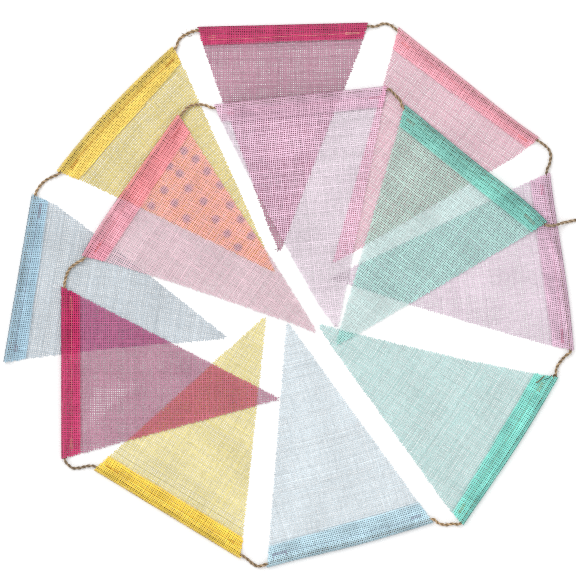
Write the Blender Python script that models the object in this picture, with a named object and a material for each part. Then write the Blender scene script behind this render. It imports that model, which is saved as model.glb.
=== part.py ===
"""A string of twelve triangular pennants of open-weave cloth on one jute twine.

It lies on a flat surface in a loop and a half. Each pennant is one piece of cloth:
its top edge is folded over the twine as a casing and sewn down. Eight pennants lie
on the surface, and the four at the free end of the twine lie over them. The origin
is under the middle of the whole, on the surface, and +Z is up.
"""

import math
from collections import namedtuple

import bpy
from mathutils import Matrix, Vector

MM = 0.001

# The cloth and the twine, in millimetres.
CLOTH = 1.0  # thickness of one layer
GAP = 0.3  # air between two layers, and between cloth and twine
TWINE = 2.8  # diameter of the twine
TWINE_IN = 3.2  # from the fold to the middle of the twine
STITCH_IN = 9.4  # from the fold to the seam that closes the casing
TIP = 2.0  # the point is cut off this far from where the two sides meet

# Heights above the underside of the hem, in millimetres.
TWINE_UP = CLOTH + GAP + TWINE / 2 + 0.02
RIDGE_UP = TWINE_UP + TWINE / 2 + GAP + CLOTH / 2 + 0.03
BASE_UP = CLOTH / 2
FLAP_UP = CLOTH * 1.5 + GAP

# How an upper pennant lies over the lower ones, in millimetres.
LIFT = CLOTH + GAP + 0.05  # height of its underside over one layer of cloth
CLEAR = 22.0  # it stays at that height this far past the cloth below
FALL = 16.0  # then it comes down to the surface over this length
EASE = 0.08  # slope at which the cloth comes down behind a raised hem
FACET = 14.5  # longest side of an upper pennant's facets

# x and y are the middle of the fold, turn is the direction of the hem in degrees, and
# lean is how far the point is from the middle of the hem, along the hem. hem_start
# and hem_end are the widths of the folded band. rise is the height of the hem's
# underside at its start, middle and end. bow is how far the fold lies outside the line
# through x and y, at its start, quarter, middle, three quarters and end.
Pennant = namedtuple(
    "Pennant", "name cloth x y turn width height lean hem_start hem_end rise bow"
)
FLAT, OVER = (0, 0, 0), (LIFT, LIFT, LIFT)
STRAIGHT = (0, 0, 0, 0, 0)
PENNANTS = [
    Pennant("pennant_01_teal", "teal", 175.1, 123.5, 140.5, 171.3, 215.3, -6.8, 16.5, 18.6, (2.85, LIFT, LIFT), (0, 1.8, 0.6, 0.2, 0)),
    Pennant("pennant_02_lilac", "lilac", 10.3, 187.5, -173.9, 161.9, 220.4, -10.7, 19.3, 16.4, OVER, STRAIGHT),
    Pennant("pennant_03_coral", "coral", -148.8, 102.8, -124.4, 159.1, 221.5, 15.7, 16.9, 19.3, OVER, (1.8, 2.5, 3.2, 3.5, 1.3)),
    Pennant("pennant_04_crimson", "crimson", -214.5, -72.8, -89.9, 160.7, 204.0, 25.1, 17.3, 17.9, (LIFT, LIFT, 0), STRAIGHT),
    Pennant("pennant_05_yellow", "yellow", -115.1, -205.8, -31.2, 159.5, 206.7, -17.1, 17.9, 18.0, FLAT, STRAIGHT),
    Pennant("pennant_06_blue", "blue", 56.4, -233.6, 16.0, 159.8, 216.4, 0.9, 18.8, 18.5, FLAT, (0, 1.0, 2.7, 3.1, 2.4)),
    Pennant("pennant_07_teal", "teal", 207.5, -146.7, 57.3, 163.3, 216.2, 2.7, 14.6, 20.7, FLAT, (0, 1.3, 2.3, 1.8, 0)),
    Pennant("pennant_08_lilac", "lilac", 255.9, 31.4, 97.2, 166.6, 216.3, 12.2, 18.8, 20.7, FLAT, (0.3, 1.4, 0.9, -0.5, -1.0)),
    Pennant("pennant_09_coral", "coral", 168.2, 199.5, 142.3, 166.9, 212.0, -2.6, 15.0, 18.5, FLAT, (-0.4, -1.5, -0.6, 0.1, 0.9)),
    Pennant("pennant_10_crimson", "crimson", -6.5, 253.7, -178.6, 158.4, 212.2, 7.9, 14.7, 17.1, FLAT, STRAIGHT),
    Pennant("pennant_11_yellow", "yellow", -163.2, 174.2, -133.1, 158.5, 213.3, 9.3, 14.1, 18.8, FLAT, (1.8, 4.4, 5.4, 4.4, 1.5)),
    Pennant("pennant_12_blue", "blue", -255.3, 15.8, -99.6, 158.8, 202.5, 22.3, 16.4, 19.7, FLAT, STRAIGHT),
]

# How far a pennant's two cut sides, at the start and at the end of its hem, lie outside the
# straight line from the hem's corner to the point, at these shares of the way.
SIDE_AT = (0, 0.12, 0.4, 0.7, 0.9, 1)
SIDES = {
    "pennant_01_teal": ((1, 1, 1, 1), (0, 0, 0, 0)),
    "pennant_02_lilac": ((0, 0, 0, 0), (2.5, 4.5, 5.0, 4.6)),
    "pennant_03_coral": ((0, 0, 1.3, 1), (-1.5, -3, -2.5, -1.5)),
    "pennant_07_teal": ((2.5, 1.8, 1.7, 1.5), (-1.8, -3.2, -2.2, -1)),
    "pennant_08_lilac": ((2.5, 3.2, 3, 2), (1.5, 1, 0, 0)),
    "pennant_09_coral": ((3.5, 3.5, 2.5, 1), (-1, -0.5, 0, 0)),
    "pennant_10_crimson": ((2, 1, 0.5, 0.5), (1.5, 2, 2, 1.5)),
    "pennant_11_yellow": ((1, 0.5, 0.5, 0), (-1.5, -1.5, -1, 0)),
    "pennant_12_blue": ((5.5, 5, 3, 1), (-1, -1.5, -1, 0)),
}

# Between two pennants the twine runs free. The table says how far it swings to the left
# of the straight line between the two casings, at a quarter, half and three quarters of
# the way, and whether it lies on the surface or on a pennant's cloth.
Gap = namedtuple("Gap", "after quarter half three_quarters lies_on")
GAPS = [
    Gap("pennant_01_teal", -2.0, -2.2, -1.7, "cloth"),
    Gap("pennant_02_lilac", -4.6, -7.1, -6.2, "cloth"),
    Gap("pennant_03_coral", -3.2, -5.5, -4.0, "cloth"),
    Gap("pennant_04_crimson", -5.8, -4.8, -1.2, "surface"),
    Gap("pennant_05_yellow", -1.6, -3.9, -4.2, "surface"),
    Gap("pennant_06_blue", -3.0, -3.4, -1.2, "surface"),
    Gap("pennant_07_teal", 2.6, 2.6, 1.6, "surface"),
    Gap("pennant_08_lilac", -5.2, -8.3, -6.4, "surface"),
    Gap("pennant_09_coral", -3.8, -4.0, -0.6, "surface"),
    Gap("pennant_10_crimson", -3.0, -4.3, -3.9, "surface"),
    Gap("pennant_11_yellow", -2.0, -3.5, -2.8, "surface"),
]
POINTS_IN_GAP = 4

# The free tail runs out of the first casing, over the hem of the pennant below it and
# down to the surface. along is the distance from the casing, left the swing to the left
# of the hem's line, up the height of the twine's middle.
TailPoint = namedtuple("TailPoint", "along left up")
TAIL = [
    TailPoint(5.2, 2.2, 6.85),
    TailPoint(7.9, 5.2, 7.55),
    TailPoint(9.9, 8.2, 7.0),
    TailPoint(12.3, 12.4, 4.2),
    TailPoint(14.7, 16.5, 2.0),
    TailPoint(19.4, 23.4, 1.42),
]
HIDDEN_END = 0.97  # the other end stops inside the last casing, at this share of it
STRAIGHT_OUT = 2.2  # the twine runs straight this far out of a casing before it turns

COLOURS = {
    "teal": (0.18, 0.60, 0.42),
    "lilac": (0.66, 0.38, 0.58),
    "coral": (0.80, 0.25, 0.30),
    "crimson": (0.60, 0.03, 0.12),
    "yellow": (0.82, 0.56, 0.09),
    "blue": (0.33, 0.55, 0.74),
    "jute": (0.34, 0.24, 0.14),
}


def clear_scene():
    for obj in list(bpy.data.objects):
        bpy.data.objects.remove(obj, do_unlink=True)


def matte(name):
    material = bpy.data.materials.new(name)
    material.use_nodes = True
    shader = material.node_tree.nodes["Principled BSDF"]
    shader.inputs["Base Color"].default_value = (*COLOURS[name], 1)
    shader.inputs["Roughness"].default_value = 0.9
    shader.inputs["Metallic"].default_value = 0
    return material


def smoothstep(x):
    x = min(max(x, 0.0), 1.0)
    return x * x * (3 - 2 * x)


def between(values, t):
    """values at t = 0, 0.5 and 1, with straight runs between them."""
    start, middle, end = values
    return start + (middle - start) * 2 * t if t < 0.5 else middle + (end - middle) * (2 * t - 1)


def placing(p):
    """From a pennant's own frame, with X along its hem and Y towards its point, to the whole's."""
    return Matrix.Translation((p.x, p.y, 0)) @ Matrix.Rotation(math.radians(p.turn), 4, "Z")


def bowed(p, t):
    """The smooth curve through the five values of bow, at share t of the hem."""
    total = 0.0
    for i, value in enumerate(p.bow):
        for j in range(5):
            if j != i:
                value *= (4 * t - j) / (i - j)
        total += value
    return total


def band_at(p, t):
    """The width of the folded band. The flap's edge is straight, whatever the fold does."""
    return p.hem_start + (p.hem_end - p.hem_start) * t + bowed(p, t)


def spread(p, t, share):
    """How far a thread at share t of the hem is moved along it by the curve of the sides."""
    offsets = []
    for values in SIDES.get(p.name, ((0, 0, 0, 0), (0, 0, 0, 0))):
        values = (0, *values, 0)
        i = max(k for k in range(5) if SIDE_AT[k] <= share or k == 0)
        part = (share - SIDE_AT[i]) / (SIDE_AT[i + 1] - SIDE_AT[i])
        offsets.append(values[i] + (values[i + 1] - values[i]) * part)
    return offsets[1] * t - offsets[0] * (1 - t)


def columns_of(p):
    if p.rise != FLAT:
        return 2 * math.ceil(p.width / FACET / 2)
    return 8 if any(p.bow) else 6


def on_cloth(p, t, v):
    """The place at share t of the hem and v from the fold, in the pennant's own frame."""
    fold = Vector(((t - 0.5) * p.width, -bowed(p, t)))
    point = Vector((p.lean, p.height))
    flat = fold + (point - fold) * (v / p.height)
    return flat + Vector((spread(p, t, v / p.height), 0))


def outline(p):
    corners = [on_cloth(p, 0, 0), on_cloth(p, 1, 0), on_cloth(p, 0.5, p.height)]
    return [(placing(p) @ c.to_3d()).to_2d() for c in corners]


def distance(point, corners):
    """From a point to a triangle, 0 inside it. The corners run counter-clockwise."""
    inside, nearest = True, math.inf
    for a, b in zip(corners, corners[1:] + corners[:1]):
        side, to = b - a, point - a
        inside &= side.cross(to) >= 0
        nearest = min(nearest, (to - side * min(max(to.dot(side) / side.dot(side), 0), 1)).length)
    return 0.0 if inside else nearest


LOWER = [outline(p) for p in PENNANTS if p.rise == FLAT]


def drape(point):
    """The height of an upper pennant's underside over this place."""
    off = min(distance(point, corners) for corners in LOWER)
    return LIFT * smoothstep((CLEAR + FALL - off) / FALL)


def hem_section(band):
    """The middle of the cloth across the hem: along the flap, round the twine and back under it."""
    return [
        (band, FLAP_UP),
        (STITCH_IN, FLAP_UP),
        (TWINE_IN + 3.5, (FLAP_UP + RIDGE_UP) / 2 - 0.2),
        (TWINE_IN + 1.3, RIDGE_UP),
        (TWINE_IN - 1.1, RIDGE_UP),
        (CLOTH * 0.9, 4.0),
        (CLOTH * 0.5, TWINE_UP - 0.1),
        (CLOTH * 0.9, BASE_UP + 0.5),
        (CLOTH * 1.8, BASE_UP),
        (STITCH_IN, BASE_UP),
        (band, BASE_UP),
    ]


def pennant(p, material, parent):
    """One sheet from the edge of the flap, round the casing, to the point of the pennant."""
    upper = p.rise != FLAT
    columns = columns_of(p)
    first = max(band_at(p, i / columns) for i in range(columns + 1)) + 1.5
    length = p.height - TIP - first
    rows = math.ceil(length / FACET) if upper else 8
    place = placing(p)
    points = []
    for i in range(columns + 1):
        t = i / columns
        hem = between(p.rise, t)
        band = band_at(p, t)
        points += [(*on_cloth(p, t, v), hem + up) for v, up in hem_section(band)]
        for j in range(rows + 1):
            v = first + length * j / rows
            at = on_cloth(p, t, v)
            height = 0.0
            if upper:
                over = drape((place @ at.to_3d()).to_2d())
                height = hem if j == 0 else max(over, hem - (v - first) * EASE)
            points.append((*at, height + BASE_UP))
    across = len(points) // (columns + 1)
    faces = [
        (i * across + j, i * across + j + 1, (i + 1) * across + j + 1, (i + 1) * across + j)
        for i in range(columns)
        for j in range(across - 1)
    ]
    mesh = bpy.data.meshes.new(p.name)
    mesh.from_pydata([Vector(q) * MM for q in points], [], faces)
    mesh.materials.append(material)
    mesh.shade_smooth()
    obj = bpy.data.objects.new(p.name, mesh)
    obj.location = (p.x * MM, p.y * MM, 0)
    obj.rotation_euler.z = math.radians(p.turn)
    obj.parent = parent
    bpy.context.collection.objects.link(obj)
    thicken = obj.modifiers.new("Cloth", "SOLIDIFY")
    thicken.thickness = CLOTH * MM
    thicken.offset = 0
    thicken.use_even_offset = True
    return obj


def in_casing(p, t):
    """The middle of the twine at share t of a pennant's casing."""
    place = placing(p) @ on_cloth(p, t, TWINE_IN).to_3d()
    return Vector((place.x, place.y, between(p.rise, t) + TWINE_UP))


def mouth(p, end):
    """Where the twine starts to turn outside a pennant's casing, at its start (0) or end (1)."""
    inner, edge = in_casing(p, abs(end - 0.1)), in_casing(p, end)
    return edge + (edge - inner).normalized() * STRAIGHT_OUT


def hermite(a, b, slope_a, slope_b, t):
    return (
        a * (2 * t**3 - 3 * t**2 + 1)
        + slope_a * (t**3 - 2 * t**2 + t)
        + b * (3 * t**2 - 2 * t**3)
        + slope_b * (t**3 - t**2)
    )


def free_run(gap, p, q):
    """Points of the twine on its way from pennant p's casing to q's, ends left out."""
    start, end = mouth(p, 1), mouth(q, 0)
    chord = end - start
    left = Vector((-chord.y, chord.x, 0)).normalized()
    swings = (gap.quarter, gap.half, gap.three_quarters)
    knots = [start, *(start + chord * (k + 1) / 4 + left * s for k, s in enumerate(swings)), end]
    step = chord.length / 4
    slopes = [(knots[k + 1] - knots[k - 1]) / 2 for k in range(1, 4)]
    leave = (in_casing(p, 1) - in_casing(p, 0.9)).normalized() * step
    enter = (in_casing(q, 0.1) - in_casing(q, 0)).normalized() * step
    slopes = [leave, *slopes, enter]
    rest = TWINE / 2 + 0.02 + (LIFT if gap.lies_on == "cloth" else 0)
    run = []
    for i in range(1, POINTS_IN_GAP + 1):
        f = i / (POINTS_IN_GAP + 1)
        k = min(int(f * 4), 3)
        at = hermite(knots[k], knots[k + 1], slopes[k], slopes[k + 1], f * 4 - k)
        near_start, near_end = smoothstep(1 - f / 0.45), smoothstep((f - 0.55) / 0.45)
        at.z = rest + (start.z - rest) * near_start + (end.z - rest) * near_end
        run.append(at)
    return run


def twine_route():
    """From the cut end of the free tail to the hidden end in the last casing."""
    first, last = PENNANTS[0], PENNANTS[-1]
    edge = in_casing(first, 0)
    out = (edge - in_casing(first, 0.1)).to_2d().normalized()
    left = Vector((-out.y, out.x))
    route = []
    for point in reversed(TAIL):
        at = edge.to_2d() + out * point.along + left * point.left
        route.append(Vector((at.x, at.y, point.up)))
    for i, p in enumerate(PENNANTS):
        turns_up = p.rise[0] + p.rise[2] != 2 * p.rise[1]
        curved = [i / columns_of(p) for i in range(1, columns_of(p))]
        stops = curved if any(p.bow) else [0.5] if turns_up else []
        route += [mouth(p, 0), *(in_casing(p, t) for t in stops)]
        route.append(mouth(p, 1) if p is not last else in_casing(p, HIDDEN_END))
        if p is not last:
            gap = next(g for g in GAPS if g.after == p.name)
            route += free_run(gap, p, PENNANTS[i + 1])
    return route


def twine(material, parent):
    curve = bpy.data.curves.new("twine", "CURVE")
    curve.dimensions = "3D"
    curve.bevel_depth = TWINE / 2 * MM
    curve.bevel_resolution = 2
    curve.use_fill_caps = True
    route = twine_route()
    spline = curve.splines.new("POLY")
    spline.points.add(len(route) - 1)
    for point, at in zip(spline.points, route):
        point.co = (*(at * MM), 1)
    spline.use_smooth = True
    curve.materials.append(material)
    obj = bpy.data.objects.new("twine", curve)
    obj.parent = parent
    bpy.context.collection.objects.link(obj)
    return obj


def build():
    clear_scene()
    whole = bpy.data.objects.new("bunting", None)
    bpy.context.collection.objects.link(whole)
    materials = {name: matte(name) for name in COLOURS}
    for p in PENNANTS:
        pennant(p, materials[p.cloth], whole)
    twine(materials["jute"], whole)


build()
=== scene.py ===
"""Looks of the pennant string: woven cloth, sewing, jute twine, floor, light and camera."""

import math
from collections import namedtuple

import bpy
import numpy as np
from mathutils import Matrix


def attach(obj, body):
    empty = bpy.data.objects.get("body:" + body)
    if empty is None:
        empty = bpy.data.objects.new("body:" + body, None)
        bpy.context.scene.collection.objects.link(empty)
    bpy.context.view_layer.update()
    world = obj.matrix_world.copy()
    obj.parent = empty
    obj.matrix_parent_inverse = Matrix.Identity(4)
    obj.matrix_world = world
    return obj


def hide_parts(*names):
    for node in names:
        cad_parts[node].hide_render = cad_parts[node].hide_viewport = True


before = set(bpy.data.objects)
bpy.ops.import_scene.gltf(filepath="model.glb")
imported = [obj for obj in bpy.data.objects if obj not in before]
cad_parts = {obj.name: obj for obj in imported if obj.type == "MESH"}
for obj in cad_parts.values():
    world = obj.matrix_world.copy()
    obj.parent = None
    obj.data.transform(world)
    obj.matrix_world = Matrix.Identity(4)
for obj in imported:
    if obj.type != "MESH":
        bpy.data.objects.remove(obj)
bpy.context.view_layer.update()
MM = 0.001

# ---------------------------------------------------------------- sizes, in millimetres
CLOTH, GAP, TWINE = 1.0, 0.3, 2.8
TWINE_IN, STITCH_IN, TIP = 3.2, 9.4, 2.0
TWINE_UP = CLOTH + GAP + TWINE / 2 + 0.02
RIDGE_UP = TWINE_UP + TWINE / 2 + GAP + CLOTH / 2 + 0.03
BASE_UP, FLAP_UP = CLOTH / 2, CLOTH * 1.5 + GAP
LIFT, CLEAR, FALL, EASE = CLOTH + GAP + 0.05, 22.0, 16.0, 0.08
FRAME_WIDTH = 541.4  # what the camera takes in, across
LOOK_AT = (-1.6, 6.6)

# The weave: thread spacing along the hem and across it, thread width and build.
PITCH_ALONG, PITCH_ACROSS = 1.72, 1.80
WIDTH_SHARE = {"B": 0.42, "D": 0.47, "J": 0.57, "K": 0.43, "I": 0.40, "L": 0.42}  # 0.41 for the others
HEM_FULLER = 1.2  # threads sit closer and flatter in a hem
WAVE = 0.17  # how far a thread goes over and under
CROWN = 0.26  # height of a thread's rounded back

Pennant = namedtuple(
    "Pennant", "name cloth x y turn width height lean hem_start hem_end rise bow"
)
FLAT, OVER = (0, 0, 0), (LIFT, LIFT, LIFT)
STRAIGHT = (0, 0, 0, 0, 0)
PENNANTS = [
    Pennant("pennant_01_teal", "teal", 175.1, 123.5, 140.5, 171.3, 215.3, -6.8, 16.5, 18.6, (2.85, LIFT, LIFT), (0, 1.8, 0.6, 0.2, 0)),
    Pennant("pennant_02_lilac", "lilac", 10.3, 187.5, -173.9, 161.9, 220.4, -10.7, 19.3, 16.4, OVER, STRAIGHT),
    Pennant("pennant_03_coral", "coral", -148.8, 102.8, -124.4, 159.1, 221.5, 15.7, 16.9, 19.3, OVER, (1.8, 2.5, 3.2, 3.5, 1.3)),
    Pennant("pennant_04_crimson", "crimson", -214.5, -72.8, -89.9, 160.7, 204.0, 25.1, 17.3, 17.9, (LIFT, LIFT, 0), STRAIGHT),
    Pennant("pennant_05_yellow", "yellow", -115.1, -205.8, -31.2, 159.5, 206.7, -17.1, 17.9, 18.0, FLAT, STRAIGHT),
    Pennant("pennant_06_blue", "blue", 56.4, -233.6, 16.0, 159.8, 216.4, 0.9, 18.8, 18.5, FLAT, (0, 1.0, 2.7, 3.1, 2.4)),
    Pennant("pennant_07_teal", "teal", 207.5, -146.7, 57.3, 163.3, 216.2, 2.7, 14.6, 20.7, FLAT, (0, 1.3, 2.3, 1.8, 0)),
    Pennant("pennant_08_lilac", "lilac", 255.9, 31.4, 97.2, 166.6, 216.3, 12.2, 18.8, 20.7, FLAT, (0.3, 1.4, 0.9, -0.5, -1.0)),
    Pennant("pennant_09_coral", "coral", 168.2, 199.5, 142.3, 166.9, 212.0, -2.6, 15.0, 18.5, FLAT, (-0.4, -1.5, -0.6, 0.1, 0.9)),
    Pennant("pennant_10_crimson", "crimson", -6.5, 253.7, -178.6, 158.4, 212.2, 7.9, 14.7, 17.1, FLAT, STRAIGHT),
    Pennant("pennant_11_yellow", "yellow", -163.2, 174.2, -133.1, 158.5, 213.3, 9.3, 14.1, 18.8, FLAT, (1.8, 4.4, 5.4, 4.4, 1.5)),
    Pennant("pennant_12_blue", "blue", -255.3, 15.8, -99.6, 158.8, 202.5, 22.3, 16.4, 19.7, FLAT, STRAIGHT),
]
SIDE_AT = (0, 0.12, 0.4, 0.7, 0.9, 1)
SIDES = {
    "pennant_01_teal": ((1, 1, 1, 1), (0, 0, 0, 0)),
    "pennant_02_lilac": ((0, 0, 0, 0), (2.5, 4.5, 5.0, 4.6)),
    "pennant_03_coral": ((0, 0, 1.3, 1), (-1.5, -3, -2.5, -1.5)),
    "pennant_07_teal": ((2.5, 1.8, 1.7, 1.5), (-1.8, -3.2, -2.2, -1)),
    "pennant_08_lilac": ((2.5, 3.2, 3, 2), (1.5, 1, 0, 0)),
    "pennant_09_coral": ((3.5, 3.5, 2.5, 1), (-1, -0.5, 0, 0)),
    "pennant_10_crimson": ((2, 1, 0.5, 0.5), (1.5, 2, 2, 1.5)),
    "pennant_11_yellow": ((1, 0.5, 0.5, 0), (-1.5, -1.5, -1, 0)),
    "pennant_12_blue": ((5.5, 5, 3, 1), (-1, -1.5, -1, 0)),
}
LETTERS = dict(zip("ABCDEFGHIJKL", PENNANTS))

Gap = namedtuple("Gap", "after quarter half three_quarters lies_on")
GAPS = [
    Gap("pennant_01_teal", -2.0, -2.2, -1.7, "cloth"),
    Gap("pennant_02_lilac", -4.6, -7.1, -6.2, "cloth"),
    Gap("pennant_03_coral", -3.2, -5.5, -4.0, "cloth"),
    Gap("pennant_04_crimson", -5.8, -4.8, -1.2, "surface"),
    Gap("pennant_05_yellow", -1.6, -3.9, -4.2, "surface"),
    Gap("pennant_06_blue", -3.0, -3.4, -1.2, "surface"),
    Gap("pennant_07_teal", 2.6, 2.6, 1.6, "surface"),
    Gap("pennant_08_lilac", -5.2, -8.3, -6.4, "surface"),
    Gap("pennant_09_coral", -3.8, -4.0, -0.6, "surface"),
    Gap("pennant_10_crimson", -3.0, -4.3, -3.9, "surface"),
    Gap("pennant_11_yellow", -2.0, -3.5, -2.8, "surface"),
]
TAIL = [
    (5.2, 2.2, 6.85),
    (7.9, 5.2, 7.55),
    (9.9, 8.2, 7.0),
    (12.3, 12.4, 4.2),
    (14.7, 16.5, 2.0),
    (19.4, 23.4, 1.42),
]
HIDDEN_END, STRAIGHT_OUT = 0.97, 2.2


def srgb(r, g, b):
    c = np.array([r, g, b]) / 255.0
    return np.where(c <= 0.04045, c / 12.92, ((c + 0.055) / 1.055) ** 2.4)


# Thread colours of each pennant, linear: in one layer and in its hem. Then factors of painted shade and painted
# light that darken and tint the threads where one pennant lies over another, and in a hem that does.
# tints begin
SINGLE = {
    "A": np.array([0.574, 0.730, 0.715]),
    "B": np.array([0.743, 0.635, 0.711]),
    "C": np.array([0.705, 0.503, 0.560]),
    "D": np.array([0.458, 0.228, 0.311]),
    "E": np.array([0.753, 0.655, 0.262]),
    "F": np.array([0.645, 0.726, 0.772]),
    "G": np.array([0.479, 0.682, 0.664]),
    "H": np.array([0.702, 0.577, 0.668]),
    "I": np.array([0.708, 0.433, 0.508]),
    "J": np.array([0.427, 0.225, 0.296]),
    "K": np.array([0.683, 0.567, 0.192]),
    "L": np.array([0.490, 0.548, 0.594]),
}
HEM = {
    "A": np.array([0.263, 0.677, 0.582]),
    "B": np.array([0.766, 0.520, 0.649]),
    "C": np.array([0.829, 0.395, 0.473]),
    "D": np.array([0.616, 0.058, 0.177]),
    "E": np.array([0.958, 0.678, 0.091]),
    "F": np.array([0.519, 0.715, 0.801]),
    "G": np.array([0.257, 0.739, 0.644]),
    "H": np.array([0.752, 0.512, 0.650]),
    "I": np.array([0.909, 0.430, 0.510]),
    "J": np.array([0.547, 0.053, 0.155]),
    "K": np.array([0.859, 0.630, 0.138]),
    "L": np.array([0.401, 0.584, 0.701]),
}
OVERLAP_SHADING = {
    "AH": np.array([0.780, 0.967, 0.922]),
    "AI": np.array([0.862, 0.905, 0.834]),
    "AG": np.array([0.702, 0.967, 0.922]),
    "BI": np.array([1.119, 0.884, 0.979]),
    "BJ": np.array([1.049, 0.812, 0.923]),
    "CK": np.array([1.282, 0.887, 0.734]),
    "CL": np.array([1.000, 1.000, 1.000]),
    "DE": np.array([1.139, 0.628, 0.606]),
    "DL": np.array([0.965, 0.547, 0.799]),
}
OVERLAP_SHADING_HEM = {
    "AH": np.array([0.847, 0.848, 0.860]),
    "AI": np.array([0.931, 0.865, 0.873]),
    "BJ": np.array([0.918, 0.851, 0.878]),
    "CK": np.array([1.081, 0.805, 0.735]),
    "CL": np.array([0.985, 0.890, 0.940]),
    "DL": np.array([0.906, 0.547, 0.776]),
}
# tints end
# Painted shade: how much darker the cloth is painted over the twine in its casing, and at the fold.
SHADE = {k: (0.30, 0.22) for k in LETTERS}
SHADE.update({"D": (0.02, 0.30), "J": (0.06, 0.30), "L": (0.32, 0.40), "B": (0.18, 0.15)})
# The sewing thread of each pennant.
SEWN = {
    "A": srgb(176, 168, 150), "B": srgb(214, 150, 172), "C": srgb(222, 120, 118), "D": srgb(222, 150, 140),
    "E": srgb(205, 150, 55), "F": srgb(150, 140, 165), "G": srgb(185, 180, 140), "H": srgb(205, 120, 150),
    "I": srgb(228, 130, 128), "J": srgb(232, 165, 155), "K": srgb(198, 140, 60), "L": srgb(150, 130, 145),
}


SEAM_SHOWS = {"J": 0.75, "D": 0.7, "K": 0.8, "E": 0.4, "L": 0.5}  # how much the long row stands out


def rng(*key):
    return np.random.default_rng([ord(c) for c in "".join(map(str, key))])


def smooth(x):
    x = np.clip(x, 0, 1)
    return x * x * (3 - 2 * x)


# ---------------------------------------------------------------- where the cloth lies
def axes_of(p):
    turn = math.radians(p.turn)
    along = np.array([math.cos(turn), math.sin(turn)])
    return along, np.array([-along[1], along[0]])


def to_world(p, a, v):
    """Plan position of (a along the hem from its middle, v from the fold)."""
    along, inward = axes_of(p)
    a, v = np.broadcast_arrays(np.asarray(a, float), np.asarray(v, float))
    t = share_along(p, a, v)
    start, end = SIDES.get(p.name, ((0, 0, 0, 0), (0, 0, 0, 0)))
    outs = [np.interp(v / p.height, SIDE_AT, (0, *values, 0)) for values in (start, end)]
    a = a + outs[1] * t - outs[0] * (1 - t)
    v = v - bowed(p, t) * (1 - v / p.height)
    return np.array([p.x, p.y]) + a[..., None] * along + v[..., None] * inward


def share_along(p, a, v):
    """Which share of the hem the line to the point through (a, v) starts from."""
    left = np.maximum(1 - v / p.height, 0.004)
    return np.clip((a - p.lean * v / p.height) / (p.width * left) + 0.5, 0, 1)


def bowed(p, t):
    """The smooth curve through the five values of bow, at share t of the hem."""
    total = 0.0
    for i, value in enumerate(p.bow):
        for j in range(5):
            if j != i:
                value = value * (4 * t - j) / (i - j)
        total = total + value
    return total


def band_at(p, t):
    """The width of the folded band."""
    return p.hem_start + (p.hem_end - p.hem_start) * t + bowed(p, t)


def corners_of(p):
    return to_world(p, [-p.width / 2, p.width / 2, p.lean], [0, 0, p.height])


def inside_by(points, tri):
    """How far inside a counter-clockwise triangle each point is, negative outside."""
    out = np.full(points.shape[:-1], np.inf)
    for a, b in zip(tri, np.roll(tri, -1, axis=0)):
        d = (b - a) / np.linalg.norm(b - a)
        rel = points - a
        out = np.minimum(out, d[0] * rel[..., 1] - d[1] * rel[..., 0])
    return out


def outline_of(p):
    """The pennant's outline seen from above, counter-clockwise."""
    t = np.linspace(0, 1, 9)
    f = np.array([0.06, 0.12, 0.25, 0.4, 0.55, 0.7, 0.9])
    half, left = p.width / 2, 1 - f
    fold = to_world(p, (t - 0.5) * p.width, np.zeros(9))
    end = to_world(p, half * left + p.lean * f, f * p.height)
    start = to_world(p, -half * left + p.lean * f, f * p.height)
    return np.vstack([fold, end, to_world(p, [p.lean], [p.height]), start[::-1]])


def within(points, line):
    """How far inside a closed outline each point is, negative outside."""
    near, inside = np.full(points.shape[:-1], np.inf), np.zeros(points.shape[:-1], bool)
    x, y = points[..., 0], points[..., 1]
    for a, b in zip(line, np.roll(line, -1, axis=0)):
        d = b - a
        f = np.clip(((points - a) @ d) / (d @ d), 0, 1)
        near = np.minimum(near, np.linalg.norm(points - a - f[..., None] * d, axis=-1))
        crosses = (a[1] > y) != (b[1] > y)
        inside ^= crosses & (x < a[0] + (y - a[1]) * d[0] / (d[1] if d[1] else 1e-9))
    return np.where(inside, near, -near)


def distance_to(points, tri):
    near = np.full(points.shape[:-1], np.inf)
    for a, b in zip(tri, np.roll(tri, -1, axis=0)):
        d = b - a
        f = np.clip(((points - a) @ d) / (d @ d), 0, 1)
        near = np.minimum(near, np.linalg.norm(points - a - f[..., None] * d, axis=-1))
    return np.where(inside_by(points, tri) >= 0, 0, near)


TRI = {k: corners_of(p) for k, p in LETTERS.items()}
OUTLINE = {k: outline_of(p) for k, p in LETTERS.items()}
LOWER = [k for k, p in LETTERS.items() if p.rise == FLAT]
UPPER = [k for k, p in LETTERS.items() if p.rise != FLAT]


def drape(points):
    off = np.min([distance_to(points, TRI[k]) for k in LOWER], axis=0)
    return LIFT * smooth((CLEAR + FALL - off) / FALL)


def between(values, t):
    return np.interp(t, [0, 0.5, 1], values)


def ground_under(p, a, v):
    """Height of the underside of pennant p's lower layer."""
    a, v = np.broadcast_arrays(np.asarray(a, float), np.asarray(v, float))
    hem = between(p.rise, share_along(p, a, v))
    if p.rise == FLAT:
        return np.zeros_like(hem)
    first = band_at(p, np.linspace(0, 1, 13)).max() + 1.5
    body = np.maximum(drape(to_world(p, a, v)), hem - (v - first) * EASE)
    return np.where(v <= first, hem, body)


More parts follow.
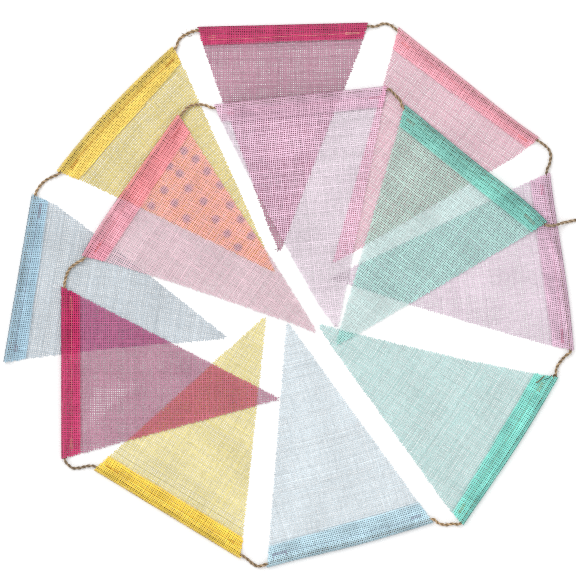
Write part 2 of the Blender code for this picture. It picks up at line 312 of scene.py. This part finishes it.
def hem_path():
    """The cloth's middle round the casing, as (q, v, z): q is 0 at the fold, more than 0 on the
    lower layer and less than 0 on the casing's cover and the flap."""
    cover = [
        (STITCH_IN + 1.0, FLAP_UP), (STITCH_IN - 0.2, FLAP_UP + 0.02), (STITCH_IN - 1.2, 2.05),
        (TWINE_IN + 3.5, 3.15), (TWINE_IN + 2.3, 4.25), (TWINE_IN + 1.2, RIDGE_UP - 0.08),
        (TWINE_IN, RIDGE_UP + 0.05), (TWINE_IN - 1.2, RIDGE_UP - 0.1), (0.7, 4.1), (0.0, 3.3), (-0.2, 2.6),
    ]
    base = [(-0.2, 2.6), (-0.1, 1.9), (0.4, 1.1), (1.3, 0.6), (2.6, BASE_UP), (STITCH_IN + 1.0, BASE_UP)]
    out = []
    for run, sign in ((cover[::-1], -1), (base, 1)):
        pts = np.array(run)
        for _ in range(3):  # corner cutting rounds the run
            cut = np.empty((2 * len(pts) - 2, 2))
            cut[0::2] = 0.75 * pts[:-1] + 0.25 * pts[1:]
            cut[1::2] = 0.25 * pts[:-1] + 0.75 * pts[1:]
            pts = np.vstack([pts[:1], cut, pts[-1:]])
        q = np.concatenate([[0], np.cumsum(np.linalg.norm(np.diff(pts, axis=0), axis=1))]) * sign
        out.append(np.column_stack([q, pts]))
    return np.vstack([out[0][::-1], out[1][1:]])


PATH = hem_path()
Q_LOW, Q_HIGH = PATH[0, 0], PATH[-1, 0]


def on_path(q):
    """(v, z above the hem's underside) for q, straight on beyond the casing."""
    q = np.asarray(q, float)
    v = np.interp(q, PATH[:, 0], PATH[:, 1])
    z = np.interp(q, PATH[:, 0], PATH[:, 2])
    v = v + np.maximum(q - Q_HIGH, 0) + np.maximum(Q_LOW - q, 0)
    return v, z


def q_of(v, side):
    """The q at distance v from the fold, on the lower layer (side 1) or the flap (side -1)."""
    if side > 0:
        part = PATH[PATH[:, 0] >= 0]
        return np.interp(v, part[:, 1], part[:, 0]) + np.maximum(v - part[-1, 1], 0)
    part = PATH[PATH[:, 0] <= 0][::-1]
    order = np.maximum.accumulate(part[:, 1])
    return np.interp(v, order, part[:, 0]) - np.maximum(v - part[-1, 1], 0)


def place(p, a, q):
    """World position of cloth coordinates, with the unit vectors along the hem, across it and out of the cloth."""
    a, q = np.broadcast_arrays(np.asarray(a, float), np.asarray(q, float))
    v, z = on_path(q)
    v2, z2 = on_path(q + 0.15)
    v1, z1 = on_path(q - 0.15)
    across = np.stack([v2 - v1, z2 - z1], -1)
    across /= np.linalg.norm(across, axis=-1, keepdims=True)
    along, inward = axes_of(p)
    xy = to_world(p, a, v)
    pos = np.concatenate([xy, (ground_under(p, a, v) + z)[..., None]], -1)
    e_a = np.broadcast_to(np.append(along, 0), pos.shape)
    e_q = np.concatenate([across[..., :1] * inward, across[..., 1:]], -1)
    return pos, e_a, e_q, np.cross(e_a, e_q)


# ---------------------------------------------------------------- colours by place
def patches(r, x, y, size):
    """Soft blotches between about -1 and 1, as of two layers of threads falling in and out of step."""
    total = 0.0
    for _ in range(5):
        turn, long, start = r.uniform(0, 2 * math.pi), size * r.uniform(0.6, 1.5), r.uniform(0, 6.28)
        total = total + np.sin((x * math.cos(turn) + y * math.sin(turn)) * 2 * math.pi / long + start)
    return total / 2.6


# Where the coral pennant lies over the yellow one, the two weaves fall into step and paler spots show.
SPOTS = np.array([
    (-99.4, 135.6), (-88.3, 127.6), (-113.2, 120.9), (-103.5, 114.2), (-77.6, 116.2), (-117.9, 98.7),
    (-95.3, 100.1), (-65.3, 103.4), (-108.2, 86.6), (-81.0, 88.0), (-56.1, 84.6), (-97.1, 71.9),
    (-69.5, 71.2), (-46.0, 71.2), (-58.8, 57.8), (-36.0, 55.7), (-48.7, 45.0), (-130.0, 83.9),
])
SPOT_TINT = {"C": srgb(204, 160, 174), "K": srgb(182, 150, 165)}


def region_colour(k, pos, q):
    """Thread colour at each place of pennant k, with painted shade over the twine's casing, at the fold and where
    pennants overlap.
    """
    p = LETTERS[k]
    v = on_path(q)[0]
    along, _ = axes_of(p)
    a = (pos[..., :2] - np.array([p.x, p.y])) @ along
    band = band_at(p, share_along(p, a, v))
    hem = smooth((band - v) / 1.2 + 0.5)[..., None]
    colour = SINGLE[k] * (1 - hem) + HEM[k] * hem
    mottle = patches(rng("hem", k), a, v * 2.2, 34.0)[..., None]
    colour = colour * (1 + 0.10 * mottle * hem + 0.05 * patches(rng("body", k), a, v, 60.0)[..., None] * (1 - hem))
    # painted shade: a darker run is painted on the cloth over the twine in its casing, for the twine's shadow and the
    # dark twine seen through the weave, and the fold is painted a little darker too
    casing = np.exp(-(((v - TWINE_IN) / 1.5) ** 2)) * (q < 0)
    fold = np.exp(-((np.maximum(v, 0) / 1.3) ** 2))
    colour = colour * (1 - SHADE[k][0] * casing - SHADE[k][1] * fold)[..., None]
    # painted shade and painted light: where one pennant lies over another, the threads of both are darkened and tinted,
    # standing in for the shade between the layers and the light that passes through the upper one
    for other in LOWER if k in UPPER else UPPER:
        pair = (k + other) if k in UPPER else (other + k)
        if pair not in OVERLAP_SHADING:
            continue
        over = smooth(within(pos[..., :2], OUTLINE[other]) / 1.2 + 0.5)[..., None]
        body = np.array(OVERLAP_SHADING[pair])
        overlap_shading_here = body * (1 - hem) + np.array(OVERLAP_SHADING_HEM.get(pair, body) if k in UPPER else body) * hem
        colour = colour * (1 - over + overlap_shading_here * over)
        if pair == "CK":
            off = np.linalg.norm(pos[..., None, :2] - SPOTS, axis=-1)
            spot = smooth((5.6 - off) / 3.2).max(axis=-1)[..., None] * over * (1 - hem) * 0.85
            colour = colour * (1 - spot) + SPOT_TINT[k] * spot
    return colour


# ---------------------------------------------------------------- threads as ribbons
def wander(r, n, x, size, long):
    """A smooth run of small offsets for each of n threads, at places x of each."""
    total = np.zeros(x.shape)
    for share, scale in ((0.6, 1.0), (0.4, 0.45)):
        wave = 2 * math.pi / (long * scale * r.uniform(0.7, 1.4, (n, 1)))
        total = total + share * np.sin(x * wave + r.uniform(0, 6.28, (n, 1)))
    return size * total


def ribbon_rows(pos, side, up, width, crown):
    """Three vertices for each node of a thread: two edges and the crown between them."""
    return np.stack(
        [pos - side * width[..., None] / 2 - up * (crown * 0.35)[..., None],
         pos + up * (crown * 0.65)[..., None],
         pos + side * width[..., None] / 2 - up * (crown * 0.35)[..., None]], -2)


class Threads:
    """Collects ribbons, with their colours and UVs, for one mesh."""

    def __init__(self):
        self.verts, self.faces, self.colours, self.uvs, self.count = [], [], [], [], 0

    def add(self, rows, colour, length, lane):
        n = len(rows)
        base = self.count
        idx = base + np.arange(n * 3).reshape(n, 3)
        for c in (0, 1):
            self.faces.append(np.stack([idx[:-1, c], idx[:-1, c + 1], idx[1:, c + 1], idx[1:, c]], -1))
        self.verts.append(rows.reshape(-1, 3))
        self.colours.append(np.repeat(colour[:, None, :], 3, 1).reshape(-1, 3))
        uv = np.empty((n, 3, 2))
        uv[..., 0] = (np.asarray(length) / 250.0 * 0.96 + 0.02)[:, None]
        uv[..., 1] = lane[0] + (lane[1] - lane[0]) * np.array([0.15, 0.5, 0.85])
        self.uvs.append(uv.reshape(-1, 2))
        self.count += n * 3


def new_mesh(name, verts, faces, colours=None, uvs=None, smooth_shading=True):
    mesh = bpy.data.meshes.new(name)
    verts = np.ascontiguousarray(np.asarray(verts, np.float32) * MM)
    faces = np.ascontiguousarray(faces, np.int32)
    sides = faces.shape[1]
    mesh.vertices.add(len(verts))
    mesh.vertices.foreach_set("co", verts.ravel())
    mesh.loops.add(len(faces) * sides)
    mesh.loops.foreach_set("vertex_index", faces.ravel())
    mesh.polygons.add(len(faces))
    mesh.polygons.foreach_set("loop_start", np.arange(len(faces), dtype=np.int32) * sides)
    mesh.polygons.foreach_set("loop_total", np.full(len(faces), sides, np.int32))
    mesh.update(calc_edges=True)
    if colours is not None:
        layer = mesh.color_attributes.new("tint", "FLOAT_COLOR", "POINT")
        rgba = np.concatenate([np.clip(colours, 0, 1), np.ones((len(colours), 1))], 1).astype(np.float32)
        layer.data.foreach_set("color", rgba.ravel())
    if uvs is not None:
        layer = mesh.uv_layers.new(name="OFBake")
        layer.data.foreach_set("uv", np.asarray(uvs, np.float32)[faces.ravel()].ravel())
    mesh.polygons.foreach_set("use_smooth", np.full(len(faces), smooth_shading))
    mesh.update()
    obj = bpy.data.objects.new(name, mesh)
    bpy.context.scene.collection.objects.link(obj)
    return obj


def side_limits(p, v):
    """The cut edges of the pennant at distance v from the fold."""
    f = v / p.height
    return (-p.width / 2) * (1 - f) + p.lean * f, (p.width / 2) * (1 - f) + p.lean * f


def weave(k):
    p = LETTERS[k]
    r = rng("weave", k)
    made = Threads()
    band_of = lambda a: band_at(p, np.clip(a / p.width + 0.5, 0, 1))
    n_warp = int(p.width / PITCH_ALONG)
    warp_a = (np.arange(n_warp) - (n_warp - 1) / 2) * p.width / n_warp + r.normal(0, 0.07, n_warp)
    low, high = q_of(band_at(p, np.linspace(0, 1, 13)).max(), -1), q_of(p.height - TIP, 1)
    n_weft = int((high - low) / PITCH_ACROSS)
    weft_q = low + (np.arange(n_weft) + 0.5) * (high - low) / n_weft + r.normal(0, 0.08, n_weft)
    warp_tone, weft_tone = r.normal(1, 0.05, n_warp), r.normal(1, 0.07, n_weft)
    warp_fat, weft_fat = r.normal(1, 0.10, n_warp), r.normal(1, 0.13, n_weft)
    warp_seed, weft_seed = r.uniform(0, 6.28, (n_warp, 4)), r.uniform(0, 6.28, (n_weft, 4))

    def shift(seed, x):
        return 0.10 * np.sin(x / 9.0 + seed[..., 0]) + 0.06 * np.sin(x / 3.7 + seed[..., 1])

    def fat(seed, x):
        slub = np.maximum(np.sin(x / 17.0 + seed[..., 2]) + np.sin(x / 7.3 + seed[..., 3]) - 1.15, 0)
        return 1 + 0.09 * np.sin(x / 2.9 + seed[..., 1]) + 0.45 * slub

    total = n_warp + n_weft
    for i in range(n_warp):
        a = warp_a[i]
        reach = (a + p.width / 2) / (p.lean + p.width / 2) if a < p.lean else (p.width / 2 - a) / (p.width / 2 - p.lean)
        v_end = min(reach * p.height, p.height - TIP)
        q1 = q_of(v_end, 1) + r.uniform(0.2, 1.9)
        q0 = q_of(min(band_of(a), v_end), -1) - r.uniform(-0.1, 0.5)
        keep = np.flatnonzero((weft_q > q0 + 0.5) & (weft_q < q1 - 0.5))
        if len(keep) < 2:
            continue
        q = np.concatenate([[q0], weft_q[keep] + shift(weft_seed[keep], a), [q1]])
        over = np.concatenate([[0], np.where((keep + i) % 2, 1.0, -1.0), [0]])
        pos, e_a, e_q, out = place(p, a + shift(warp_seed[i], q), q)
        lay(made, k, pos, e_a, e_q, out, q, over, warp_fat[i] * fat(warp_seed[i], q) * PITCH_ALONG,
            warp_tone[i], q - q0, (i / total, (i + 1) / total), r)
    for j in range(n_weft):
        q = weft_q[j]
        v = float(on_path(q)[0])
        a0, a1 = side_limits(p, v)
        a0, a1 = a0 - r.uniform(0.2, 1.5), a1 + r.uniform(0.2, 1.5)
        keep = np.flatnonzero((warp_a > a0 + 0.5) & (warp_a < a1 - 0.5) & ((q > 0) | (v <= band_of(warp_a) + 0.2)))
        if len(keep) < 1:
            continue
        inner = warp_a[keep]
        start = a0 if q > 0 or v <= band_of(a0) else inner[0] - 0.8
        end = a1 if q > 0 or v <= band_of(a1) else inner[-1] + 0.8
        a = np.concatenate([[start], inner + shift(warp_seed[keep], q), [end]])
        over = np.concatenate([[0], np.where((keep + j) % 2, -1.0, 1.0), [0]])
        pos, e_a, e_q, out = place(p, a, q + shift(weft_seed[j], a))
        lay(made, k, pos, e_q, e_a, out, np.full(len(a), q), over, weft_fat[j] * fat(weft_seed[j], a) * PITCH_ACROSS,
            weft_tone[j], a - start, ((n_warp + j) / total, (n_warp + j + 1) / total), r)
    return made


def lay(made, k, pos, side, run, out, q, over, pitch_width, tone, length, lane, r):
    """Adds one thread whose nodes are at pos. out points to the flap's inside and the base's top."""
    facing = np.where(q > 0, 1.0, -1.0) * smooth(np.abs(q) / 2.2)
    up = out * facing[:, None]
    lift = out * (over * WAVE)[:, None]
    width = pitch_width * WIDTH_SHARE.get(k, 0.41)
    if k not in "DJ":
        p = LETTERS[k]
        a = (pos[:, :2] - np.array([p.x, p.y])) @ axes_of(p)[0]
        v = on_path(q)[0]
        width = width * (1 + (HEM_FULLER - 1) * smooth((band_at(p, share_along(p, a, v)) - v) / 1.2 + 0.5))
    rows = ribbon_rows(pos + lift, side, up, width, np.full(len(q), CROWN))
    colour = region_colour(k, pos, q)
    grain = 1 + 0.05 * np.sin(length / 1.7 + tone * 90) + 0.04 * np.sin(length / 5.1 + tone * 50)
    made.add(rows, colour * (tone * grain)[:, None], length, lane)


# ---------------------------------------------------------------- materials
def principled(name, roughness, sheen=0.0):
    material = bpy.data.materials.new(name)
    material.use_nodes = True
    shader = material.node_tree.nodes["Principled BSDF"]
    shader.inputs["Roughness"].default_value = roughness
    shader.inputs["Specular IOR Level"].default_value = 0.2
    if sheen:
        shader.inputs["Sheen Weight"].default_value = sheen
        shader.inputs["Sheen Roughness"].default_value = 0.6
    return material, shader


def thread_material(name, sheen=0.12):
    """Spun thread: its own tint, with fibre streaks and a fine fibre bump."""
    material, shader = principled(name, 0.88, sheen)
    nodes, links = material.node_tree.nodes, material.node_tree.links
    tint = nodes.new("ShaderNodeAttribute")
    tint.attribute_name = "tint"
    where = nodes.new("ShaderNodeTexCoord")
    fibres = nodes.new("ShaderNodeTexNoise")
    fibres.inputs["Scale"].default_value = 2600
    fibres.inputs["Detail"].default_value = 3
    links.new(where.outputs["Object"], fibres.inputs["Vector"])
    spread = nodes.new("ShaderNodeMapRange")
    spread.inputs["From Min"].default_value = 0.3
    spread.inputs["From Max"].default_value = 0.7
    spread.inputs["To Min"].default_value = 0.90
    spread.inputs["To Max"].default_value = 1.10
    links.new(fibres.outputs["Fac"], spread.inputs["Value"])
    mix = nodes.new("ShaderNodeVectorMath")
    mix.operation = "SCALE"
    links.new(tint.outputs["Color"], mix.inputs[0])
    links.new(spread.outputs["Result"], mix.inputs["Scale"])
    links.new(mix.outputs[0], shader.inputs["Base Color"])
    bump = nodes.new("ShaderNodeBump")
    bump.inputs["Strength"].default_value = 0.35
    bump.inputs["Distance"].default_value = 0.00015
    links.new(fibres.outputs["Fac"], bump.inputs["Height"])
    links.new(bump.outputs["Normal"], shader.inputs["Normal"])
    return material


# ---------------------------------------------------------------- the twine's route
def in_casing(p, t):
    """The middle of the twine at share t of a pennant's casing."""
    f = TWINE_IN / p.height
    xy = to_world(p, (t - 0.5) * p.width * (1 - f) + p.lean * f, TWINE_IN)
    rise = p.rise[0] + (p.rise[1] - p.rise[0]) * 2 * t if t < 0.5 else p.rise[1] + (p.rise[2] - p.rise[1]) * (2 * t - 1)
    return np.array([xy[0], xy[1], rise + TWINE_UP])


def unit(x):
    return x / np.linalg.norm(x)


def mouth(p, end):
    inner, edge = in_casing(p, abs(end - 0.1)), in_casing(p, end)
    return edge + unit(edge - inner) * STRAIGHT_OUT


def hermite(a, b, slope_a, slope_b, t):
    return a * (2 * t**3 - 3 * t**2 + 1) + slope_a * (t**3 - 2 * t**2 + t) + b * (3 * t**2 - 2 * t**3) + slope_b * (t**3 - t**2)


def free_run(gap, p, q, n):
    start, end = mouth(p, 1), mouth(q, 0)
    chord = end - start
    left = unit(np.array([-chord[1], chord[0], 0]))
    swings = (gap.quarter, gap.half, gap.three_quarters)
    knots = [start, *(start + chord * (i + 1) / 4 + left * s for i, s in enumerate(swings)), end]
    step = np.linalg.norm(chord) / 4
    slopes = [unit(in_casing(p, 1) - in_casing(p, 0.9)) * step]
    slopes += [(knots[i + 1] - knots[i - 1]) / 2 for i in range(1, 4)]
    slopes += [unit(in_casing(q, 0.1) - in_casing(q, 0)) * step]
    rest = TWINE / 2 + 0.02 + (LIFT if gap.lies_on == "cloth" else 0)
    run = []
    for i in range(1, n + 1):
        f = i / (n + 1)
        j = min(int(f * 4), 3)
        at = hermite(knots[j], knots[j + 1], slopes[j], slopes[j + 1], f * 4 - j)
        at[2] = rest + (start[2] - rest) * smooth(1 - f / 0.45) + (end[2] - rest) * smooth((f - 0.55) / 0.45)
        run.append(at)
    return run


def twine_route():
    """Dense points of the twine's middle, from the free tail's cut end to the hidden end."""
    first, last = PENNANTS[0], PENNANTS[-1]
    edge = in_casing(first, 0)
    out = unit((edge - in_casing(first, 0.1))[:2])
    left = np.array([-out[1], out[0]])
    tail = [np.array([*(edge[:2] + out * a + left * b), z]) for a, b, z in reversed(TAIL)]
    knots = tail + [mouth(first, 0)]
    ends = [2 * knots[0] - knots[1], *knots, knots[-1] + unit(in_casing(first, 0.1) - knots[-1]) * 4]
    route = []
    for i in range(len(knots) - 1):
        a, b, c, d = ends[i:i + 4]
        for t in np.arange(0, 1, 0.125):
            route.append(hermite(b, c, (c - a) / 2, (d - b) / 2, t))
    for i, p in enumerate(PENNANTS):
        route.append(mouth(p, 0))
        stop = 1 if p is not last else HIDDEN_END
        for t in np.linspace(0, stop, 34):
            route.append(in_casing(p, t))
        if p is not last:
            route.append(mouth(p, 1))
            gap = next(g for g in GAPS if g.after == p.name)
            route += free_run(gap, p, PENNANTS[i + 1], 26)
    return np.array(route)


def resample(line, step):
    s = np.concatenate([[0], np.cumsum(np.linalg.norm(np.diff(line, axis=0), axis=1))])
    n = int(round(s[-1] / step)) + 1
    at = np.linspace(0, s[-1], n)
    return np.column_stack([np.interp(at, s, line[:, i]) for i in range(3)]), at


def frames(line):
    """Tangent, sideways and up for each point of a line that lies mostly flat."""
    t = np.gradient(line, axis=0)
    t /= np.linalg.norm(t, axis=1, keepdims=True)
    side = np.cross(np.array([0, 0, 1.0]), t)
    side /= np.linalg.norm(side, axis=1, keepdims=True)
    return t, side, np.cross(t, side)


def tube(line, radius, sides, phase=0.0, squash=1.0):
    """Vertices and faces of a closed tube with flat caps along a line."""
    t, side, up = frames(line)
    turn = np.arange(sides) / sides * 2 * math.pi + phase
    radius = np.broadcast_to(radius, (len(line),))
    ring = (np.cos(turn)[None, :, None] * side[:, None] + squash * np.sin(turn)[None, :, None] * up[:, None]) * radius[:, None, None]
    verts = (line[:, None] + ring).reshape(-1, 3)
    n = len(line)
    i, j = np.meshgrid(np.arange(n - 1), np.arange(sides), indexing="ij")
    a, b = i * sides + j, i * sides + (j + 1) % sides
    faces = np.stack([a, b, b + sides, a + sides], -1).reshape(-1, 4)
    caps = []
    for start, flip in ((0, True), ((n - 1) * sides, False)):
        for m in range(1, sides - 1, 2):
            quad = [start, start + m, start + m + 1, start + min(m + 2, sides - 1)]
            caps.append(quad[::-1] if flip else quad)
    return verts, faces, np.array([c for c in caps if len(set(c)) == 4] or np.empty((0, 4), int), int).reshape(-1, 4)


def hair(start, heading, length, r, bend=0.5, steps=5):
    """A thin fibre that leaves start along heading and curls a little."""
    points = [np.array(start, float)]
    turn = math.atan2(heading[1], heading[0])
    for _ in range(steps):
        turn += r.normal(0, bend)
        step = length / steps
        points.append(points[-1] + np.array([math.cos(turn), math.sin(turn), r.normal(0, 0.10)]) * step)
    points = np.array(points)
    points[:, 2] = np.maximum(points[:, 2], 0.06)
    return points


def thin(line, radius, colour, verts, faces, colours, count, sides=3):
    """Adds a thin round thread to the lists."""
    v, f, _ = tube(line, radius, sides)
    verts.append(v)
    faces.append(f + count)
    colours.append(np.tile(colour, (len(v), 1)))
    return count + len(v)


def build_twine():
    line, s = resample(twine_route(), 0.85)
    t, side, up = frames(line)
    r = rng("twine")
    hidden = np.zeros(len(line), bool)
    for p in PENNANTS:
        rel = line[:, :2] - np.array([p.x, p.y])
        along, inward = axes_of(p)
        hidden |= (np.abs(rel @ along) < p.width / 2 - 4) & (np.abs(rel @ inward - TWINE_IN) < 6)
    lay_length, verts, faces, colours, count = 9.4, [], [], [], 0
    drift = np.cumsum(r.normal(0, 0.02, len(s)))
    for ply in range(2):
        turn = s / lay_length * 2 * math.pi + ply * math.pi + 0.35 * np.sin(s / 27.0) + drift * 0.5
        around = 0.69 + 0.06 * np.sin(s / 6.1 + ply * 2.1)
        core = line + side * (np.cos(turn) * around)[:, None] + up * (np.sin(turn) * around * 0.9)[:, None]
        thick = 0.80 * (1 + 0.09 * np.sin(s / 4.1 + ply * 1.7) + 0.08 * np.sin(s / 1.9 + ply) + 0.07 * np.sin(s / 13 + ply))
        sides = 8
        v, f, _ = tube(core, thick, sides, 0.3)
        fibres = r.normal(0, 0.13, (len(s) + 12, sides))
        fibres = sum(np.roll(fibres, i, 0)[: len(s)] for i in range(4)) / 2
        tone = 1 + 0.10 * np.sin(s / 23.0 + ply) + 0.10 * np.sin(s / 7.7 + ply * 2.0)
        # painted shade: each ply is painted darkest in the groove between the two, on top of its own tone and fibres
        facing = (np.cos(np.arange(sides) / sides * 2 * math.pi + 0.3 - turn[:, None]) + 1) / 2
        groove_shade = 0.30 + 0.82 * facing**0.9
        tone_and_shade = (tone[:, None] * groove_shade * (1 + fibres)).clip(0.2, 1.7)
        warm = 0.5 + 0.5 * np.sin(s / 41.0 + 1.0)[:, None, None]
        base = srgb(172, 144, 110) * (1 - warm) + srgb(150, 130, 106) * warm
        ring = (base * tone_and_shade[..., None]).reshape(-1, 3)
        verts.append(v)
        faces.append(f + count)
        colours.append(ring)
        count += len(v)
        # a disc of cut fibres closes each end
        for row, flip in ((0, True), (len(s) - 1, False)):
            first = count - len(v) + row * sides
            quads = np.array([[0, 1, 2, 3], [0, 3, 4, 7], [4, 5, 6, 7]]) + first
            faces.append(quads[:, ::-1] if flip else quads)
    strands = new_mesh("twine_strands", np.maximum(np.vstack(verts), [-1e9, -1e9, 0.02]), np.vstack(faces), np.vstack(colours))
    strands.data.materials.append(thread_material("jute", 0.10))
    verts, faces, colours, count = [], [], [], 0
    visible = np.flatnonzero(~hidden)
    for i in r.choice(visible, 420):
        away = r.uniform(0, 2 * math.pi)
        out = side[i] * math.cos(away) + up[i] * abs(math.sin(away)) * 0.7
        start = line[i] + out * r.uniform(0.9, 1.35)
        heading = out[:2] * r.uniform(0.3, 1.2) + t[i][:2] * r.choice([-1, 1]) * 1.0
        tint = srgb(176, 148, 112) * r.uniform(0.45, 1.25)
        count = thin(hair(start, heading, r.uniform(1.0, 3.4), r, 0.4), 0.075, tint, verts, faces, colours, count)
    # the cut end of the tail opens into loose fibres
    for _ in range(26):
        start = line[0] + side[0] * r.normal(0, 0.6) + np.array([0, 0, abs(r.normal(0, 0.5))])
        heading = -t[0][:2] + side[0][:2] * r.normal(0, 0.35)
        count = thin(hair(start, heading, r.uniform(0.6, 2.2), r, 0.25), 0.10,
                     srgb(130, 108, 82) * r.uniform(0.6, 1.2), verts, faces, colours, count)
    verts, faces, colours = np.vstack(verts), np.vstack(faces), np.vstack(colours)
    verts[:, 2] = np.maximum(verts[:, 2], 0.02)
    fibres = new_mesh("twine_fibres", verts, faces, colours)
    fibres.data.materials.append(thread_material("jute fibre", 0.05))
    return strands, fibres, line, s


# ---------------------------------------------------------------- sewing
def sewing(k):
    """The seam that closes the casing, with the extra rows that lock its ends, as short threads lying on the flap."""
    p = LETTERS[k]
    r = rng("sewing", k)
    verts, faces, colours, count = [], [], [], 0
    half = p.width / 2 * (1 - STITCH_IN / p.height)
    rows = [(-half + 3.0, half - 3.0, 0.0, 3.1)]
    for end, length in ((-1, r.uniform(12, 16)), (1, r.uniform(9, 13))):
        inner = end * (half - 4.0)
        for shift in (-0.75, 0.8):
            a0, a1 = sorted((inner, inner - end * length))
            rows.append((a0, a1, shift, 3.4))
    for a0, a1, shift, pitch in rows:
        n = max(int((a1 - a0) / pitch), 1)
        seen = 1.0 if shift else SEAM_SHOWS.get(k, 0.35)
        tint = SEWN[k] * seen + HEM[k] * 0.85 * (1 - seen)
        slope = r.normal(0, 0.02)
        for i in range(n):
            start = a0 + i * pitch + r.normal(0, 0.12)
            a = start + np.linspace(0.2, pitch - 0.25, 6)
            v = STITCH_IN + shift + slope * (a - a0) + 0.22 * np.sin(a / 11.0 + ord(k)) + r.normal(0, 0.06)
            v = np.broadcast_to(v, a.shape)
            pos, _, _, out = place(p, a + p.lean * v / p.height, q_of(v, -1))
            arch = np.array([-0.15, 0.30, 0.40, 0.40, 0.30, -0.15])
            up = -out  # out points into the flap
            line = pos + up * (arch + 0.12)[:, None]
            count = thin(line, 0.22, tint * r.uniform(0.85, 1.12), verts, faces, colours, count, 5)
    if k == "F":  # the end of this seam turns up towards the fold
        for base_a in (-half + 4.0, -half + 16.5):
            v = np.linspace(5.6, 10.6, 6)
            pos, _, _, out = place(p, np.full(6, base_a), q_of(v, -1))
            count = thin(pos - out * 0.35, 0.22, SEWN[k] * 0.85, verts, faces, colours, count, 5)
    obj = new_mesh("seam_" + p.name.split("_", 1)[1], np.vstack(verts), np.vstack(faces), np.vstack(colours))
    obj.data.materials.append(thread_material("sewing thread " + p.cloth, 0.05))
    return obj


def strays():
    """Loose threads: at the points of five pennants, at one casing's mouth and beside another."""
    r = rng("strays")
    verts, faces, colours, count = [], [], [], 0

    def thread(points, radius, colour):
        nonlocal count
        line, _ = resample(np.array(points), 0.9)
        count = thin(line, radius, colour, verts, faces, colours, count, 5)

    # a fibre that stands off the twine between the crimson and the yellow pennants
    thread([(-102.2, 246.3, 3.0), (-97.9, 244.4, 2.4), (-94.2, 242.9, 1.6), (-91.8, 243.9, 1.0)], 0.22, srgb(120, 95, 70))
    # the thread tied round the twine at the end of the teal casing, and its two short ends
    mid = in_casing(LETTERS["G"], 1.0)
    along, inward = axes_of(LETTERS["G"])
    turn = np.linspace(0, 2 * math.pi, 13)
    for off in (1.0, 1.7, 2.4):
        ring = mid + np.append(along, 0) * off + np.outer(np.cos(turn), np.append(inward, 0)) * 1.75
        ring = ring + np.outer(np.sin(turn), [0, 0, 1.75])
        count = thin(ring, 0.32, srgb(112, 88, 62) * r.uniform(0.8, 1.1), verts, faces, colours, count, 5)
    thread([(246.1, -75.2, 3.0), (243.7, -77.6, 4.4), (241.4, -78.6, 4.0), (239.0, -79.3, 3.4)], 0.30, srgb(52, 48, 40))
    thread([(239.0, -75.6, 3.6), (236.2, -78.6, 3.9), (233.9, -80.8, 3.6), (231.5, -82.3, 3.2)], 0.55, srgb(120, 100, 72))
    for k, size in (("J", 5.0), ("D", 6.0), ("H", 4.5), ("B", 3.0), ("I", 3.5)):
        p = LETTERS[k]
        tip, _, _, _ = place(p, np.array([p.lean]), np.array([float(q_of(p.height - TIP - 1.0, 1))]))
        for _ in range(3):
            heading = inward_of(p) + 0.35 * r.normal(0, 1, 2)
            points = hair(tip[0] + np.array([0, 0, 0.1]), heading, size * r.uniform(0.6, 1.1), r, 0.22)
            count = thin(points, 0.2, SINGLE[k] * 0.8, verts, faces, colours, count, 4)
    obj = new_mesh("loose_threads", np.vstack(verts), np.vstack(faces), np.vstack(colours))
    obj.data.materials.append(thread_material("loose thread", 0.05))
    return obj


def inward_of(p):
    return axes_of(p)[1]


# ---------------------------------------------------------------- camera, floor and light
def stage():
    camera = bpy.data.cameras.new("camera")
    camera.lens, camera.sensor_width = 200, 36
    away = FRAME_WIDTH * MM / 2 / (camera.sensor_width / 2 / camera.lens)
    camera.clip_start, camera.clip_end = 0.01, 50
    eye = bpy.data.objects.new("camera", camera)
    eye.location = (LOOK_AT[0] * MM, LOOK_AT[1] * MM, away)
    bpy.context.scene.collection.objects.link(eye)
    bpy.context.scene.camera = eye

    mesh = bpy.data.meshes.new("floor")
    mesh.from_pydata([(-4, -4, 0), (4, -4, 0), (4, 4, 0), (-4, 4, 0)], [], [(0, 1, 2, 3)])
    floor = bpy.data.objects.new("floor", mesh)
    bpy.context.scene.collection.objects.link(floor)
    material, shader = principled("floor", 0.9)
    shader.inputs["Base Color"].default_value = (0.93, 0.93, 0.93, 1)
    mesh.materials.append(material)

    light = bpy.data.lights.new("softbox", "AREA")
    light.shape, light.size, light.energy = "SQUARE", 1.6, 20
    lamp = bpy.data.objects.new("softbox", light)
    lamp.location = (-0.9, 1.0, 1.9)
    lamp.rotation_euler = (math.radians(-28), math.radians(-25), 0)
    bpy.context.scene.collection.objects.link(lamp)

    world = bpy.data.worlds.new("studio")
    world.use_nodes = True
    world.node_tree.nodes["Background"].inputs[0].default_value = (1, 1, 1, 1)
    world.node_tree.nodes["Background"].inputs[1].default_value = 0.95
    bpy.context.scene.world = world
    bpy.context.scene.view_settings.view_transform = "Standard"
    bpy.context.scene.cycles.use_denoising = False  # it would smear threads this fine
    bpy.context.scene.cycles.pixel_filter_type = "BLACKMAN_HARRIS"
    bpy.context.scene.cycles.filter_width = 1.0


stage()

# ---------------------------------------------------------------- the pieces
twine, fibres, route, along_route = build_twine()
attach(twine, "root")
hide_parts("twine")
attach(fibres, "root")
loose = strays()
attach(loose, "root")

cloth_material = {name: thread_material(name + " cloth") for name in sorted({p.cloth for p in PENNANTS})}
for k, p in LETTERS.items():
    made = weave(k)
    cloth = new_mesh("cloth_" + p.name.split("_", 1)[1], np.vstack(made.verts), np.vstack(made.faces),
                     np.vstack(made.colours), np.vstack(made.uvs))
    cloth.data.materials.append(cloth_material[p.cloth])
    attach(cloth, "root")
    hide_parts(p.name)
    seam = sewing(k)
    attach(seam, "root")
